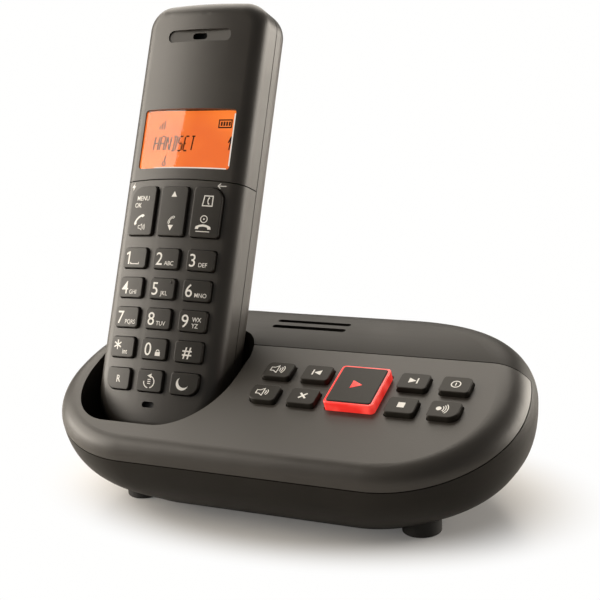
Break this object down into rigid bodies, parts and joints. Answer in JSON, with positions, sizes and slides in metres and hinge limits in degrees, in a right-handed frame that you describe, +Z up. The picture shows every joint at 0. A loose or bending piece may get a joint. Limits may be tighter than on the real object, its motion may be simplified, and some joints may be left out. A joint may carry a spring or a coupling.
{
  "type": "answering machine",
  "caption": "Cordless telephone answering machine: sloping base with message keys, loudspeaker and charging cradle, and a keypad handset with a lit display standing in it.",
  "frame": {"origin": "on the desk, under the middle of the machine's bounding box", "axes": "+Z up, -Y towards the user (front), +X to the user's right"},
  "size_m": [0.1723, 0.1062, 0.1688],
  "materials": {
    "charcoal_plastic": "fine satin texture, warm charcoal",
    "dark_plastic": "fine satin texture, darker hull",
    "key_plastic": "smooth satin keys with printed legends",
    "red_lens": "translucent red, lit from inside",
    "window_clear": "clear hard window",
    "display_orange": "lit orange display panel",
    "diffuser_white": "milky light guide",
    "silicone": "soft silicone",
    "foot_rubber": "matt black rubber",
    "board_green": "solder-masked circuit board",
    "speaker_metal": "pressed steel basket",
    "contact_metal": "plated spring contacts",
    "socket_black": "moulded socket",
    "screw_steel": "zinc-plated screws",
    "cell_can": "wrapped rechargeable cells"
  },
  "bodies": {
    "base": {"base_front_cover": "charcoal_plastic", "base_rear_housing": "dark_plastic", "base_bottom_plate": "dark_plastic", "rubber_feet": "foot_rubber", "base_circuit_board": "board_green", "loudspeaker": "speaker_metal", "base_keypad_mat": "silicone", "charging_contacts": "contact_metal", "power_socket": "socket_black", "line_socket": "socket_black", "base_screws": "screw_steel"},
    "handset": {"handset_display_cover": "charcoal_plastic", "handset_keypad_cover": "charcoal_plastic", "handset_rear_shell": "charcoal_plastic", "display_window": "window_clear", "display_panel": "display_orange", "backlight_diffuser": "diffuser_white", "earpiece_speaker": "speaker_metal", "handset_microphone": "foot_rubber", "handset_circuit_board": "board_green", "handset_keypad_mat": "silicone", "battery_cell_left": "cell_can", "battery_cell_right": "cell_can", "battery_springs": "contact_metal", "handset_charge_contacts": "contact_metal", "handset_screws": "screw_steel", "ringer_speaker": "speaker_metal"},
    "battery_door": {"battery_door": "charcoal_plastic"},
    "play_key": {"play_key": "key_plastic", "play_light_frame": "red_lens"},
    "volume_up_key": {"volume_up_key": "key_plastic"},
    "volume_down_key": {"volume_down_key": "key_plastic"},
    "skip_back_key": {"skip_back_key": "key_plastic"},
    "delete_key": {"delete_key": "key_plastic"},
    "skip_forward_key": {"skip_forward_key": "key_plastic"},
    "stop_key": {"stop_key": "key_plastic"},
    "power_key": {"power_key": "key_plastic"},
    "handset_finder_key": {"handset_finder_key": "key_plastic"},
    "key_1": {"key_1": "key_plastic"},
    "key_2": {"key_2": "key_plastic"},
    "key_3": {"key_3": "key_plastic"},
    "key_4": {"key_4": "key_plastic"},
    "key_5": {"key_5": "key_plastic"},
    "key_6": {"key_6": "key_plastic"},
    "key_7": {"key_7": "key_plastic"},
    "key_8": {"key_8": "key_plastic"},
    "key_9": {"key_9": "key_plastic"},
    "key_star": {"key_star": "key_plastic"},
    "key_0": {"key_0": "key_plastic"},
    "key_hash": {"key_hash": "key_plastic"},
    "recall_key": {"recall_key": "key_plastic"},
    "redial_key": {"redial_key": "key_plastic"},
    "silent_key": {"silent_key": "key_plastic"},
    "menu_talk_key": {"menu_talk_key": "key_plastic"},
    "navigation_key": {"navigation_key": "key_plastic"},
    "phonebook_end_key": {"phonebook_end_key": "key_plastic"}
  },
  "joints": [
    {"name": "handset_lift", "type": "slide", "parent": "base", "child": "handset", "axis": [0, 0.4067, 0.9135], "range_m": [0, 0.07]},
    {"name": "battery_door_off", "type": "slide", "parent": "handset", "child": "battery_door", "axis": [0, 0.9135, -0.4067], "range_m": [0, 0.012]},
    {"name": "volume_up_press", "type": "slide", "parent": "base", "child": "volume_up_key", "axis": [0, 0.3584, -0.9336], "range_m": [0, 0.0008], "stiffness_N_per_m": 800},
    {"name": "volume_down_press", "type": "slide", "parent": "base", "child": "volume_down_key", "axis": [0, 0.3584, -0.9336], "range_m": [0, 0.0008], "stiffness_N_per_m": 800},
    {"name": "skip_back_press", "type": "slide", "parent": "base", "child": "skip_back_key", "axis": [0, 0.3584, -0.9336], "range_m": [0, 0.0008], "stiffness_N_per_m": 800},
    {"name": "delete_press", "type": "slide", "parent": "base", "child": "delete_key", "axis": [0, 0.3584, -0.9336], "range_m": [0, 0.0008], "stiffness_N_per_m": 800},
    {"name": "skip_forward_press", "type": "slide", "parent": "base", "child": "skip_forward_key", "axis": [0, 0.3584, -0.9336], "range_m": [0, 0.0008], "stiffness_N_per_m": 800},
    {"name": "stop_press", "type": "slide", "parent": "base", "child": "stop_key", "axis": [0, 0.3584, -0.9336], "range_m": [0, 0.0008], "stiffness_N_per_m": 800},
    {"name": "power_press", "type": "slide", "parent": "base", "child": "power_key", "axis": [0, 0.3584, -0.9336], "range_m": [0, 0.0008], "stiffness_N_per_m": 800},
    {"name": "handset_finder_press", "type": "slide", "parent": "base", "child": "handset_finder_key", "axis": [0, 0.3584, -0.9336], "range_m": [0, 0.0008], "stiffness_N_per_m": 800},
    {"name": "play_press", "type": "slide", "parent": "base", "child": "play_key", "axis": [0, 0.3584, -0.9336], "range_m": [0, 0.0008], "stiffness_N_per_m": 800},
    {"name": "key_1_press", "type": "slide", "parent": "handset", "child": "key_1", "axis": [0, 0.9135, -0.4067], "range_m": [0, 0.0008], "stiffness_N_per_m": 600},
    {"name": "key_2_press", "type": "slide", "parent": "handset", "child": "key_2", "axis": [0, 0.9135, -0.4067], "range_m": [0, 0.0008], "stiffness_N_per_m": 600},
    {"name": "key_3_press", "type": "slide", "parent": "handset", "child": "key_3", "axis": [0, 0.9135, -0.4067], "range_m": [0, 0.0008], "stiffness_N_per_m": 600},
    {"name": "key_4_press", "type": "slide", "parent": "handset", "child": "key_4", "axis": [0, 0.9135, -0.4067], "range_m": [0, 0.0008], "stiffness_N_per_m": 600},
    {"name": "key_5_press", "type": "slide", "parent": "handset", "child": "key_5", "axis": [0, 0.9135, -0.4067], "range_m": [0, 0.0008], "stiffness_N_per_m": 600},
    {"name": "key_6_press", "type": "slide", "parent": "handset", "child": "key_6", "axis": [0, 0.9135, -0.4067], "range_m": [0, 0.0008], "stiffness_N_per_m": 600},
    {"name": "key_7_press", "type": "slide", "parent": "handset", "child": "key_7", "axis": [0, 0.9135, -0.4067], "range_m": [0, 0.0008], "stiffness_N_per_m": 600},
    {"name": "key_8_press", "type": "slide", "parent": "handset", "child": "key_8", "axis": [0, 0.9135, -0.4067], "range_m": [0, 0.0008], "stiffness_N_per_m": 600},
    {"name": "key_9_press", "type": "slide", "parent": "handset", "child": "key_9", "axis": [0, 0.9135, -0.4067], "range_m": [0, 0.0008], "stiffness_N_per_m": 600},
    {"name": "key_star_press", "type": "slide", "parent": "handset", "child": "key_star", "axis": [0, 0.9135, -0.4067], "range_m": [0, 0.0008], "stiffness_N_per_m": 600},
    {"name": "key_0_press", "type": "slide", "parent": "handset", "child": "key_0", "axis": [0, 0.9135, -0.4067], "range_m": [0, 0.0008], "stiffness_N_per_m": 600},
    {"name": "key_hash_press", "type": "slide", "parent": "handset", "child": "key_hash", "axis": [0, 0.9135, -0.4067], "range_m": [0, 0.0008], "stiffness_N_per_m": 600},
    {"name": "recall_press", "type": "slide", "parent": "handset", "child": "recall_key", "axis": [0, 0.9135, -0.4067], "range_m": [0, 0.0008], "stiffness_N_per_m": 600},
    {"name": "redial_press", "type": "slide", "parent": "handset", "child": "redial_key", "axis": [0, 0.9135, -0.4067], "range_m": [0, 0.0008], "stiffness_N_per_m": 600},
    {"name": "silent_press", "type": "slide", "parent": "handset", "child": "silent_key", "axis": [0, 0.9135, -0.4067], "range_m": [0, 0.0008], "stiffness_N_per_m": 600},
    {"name": "menu_talk_press", "type": "slide", "parent": "handset", "child": "menu_talk_key", "axis": [0, 0.9135, -0.4067], "range_m": [0, 0.0008], "stiffness_N_per_m": 600},
    {"name": "navigation_press", "type": "slide", "parent": "handset", "child": "navigation_key", "axis": [0, 0.9135, -0.4067], "range_m": [0, 0.0008], "stiffness_N_per_m": 600},
    {"name": "phonebook_end_press", "type": "slide", "parent": "handset", "child": "phonebook_end_key", "axis": [0, 0.9135, -0.4067], "range_m": [0, 0.0008], "stiffness_N_per_m": 600}
  ]
}
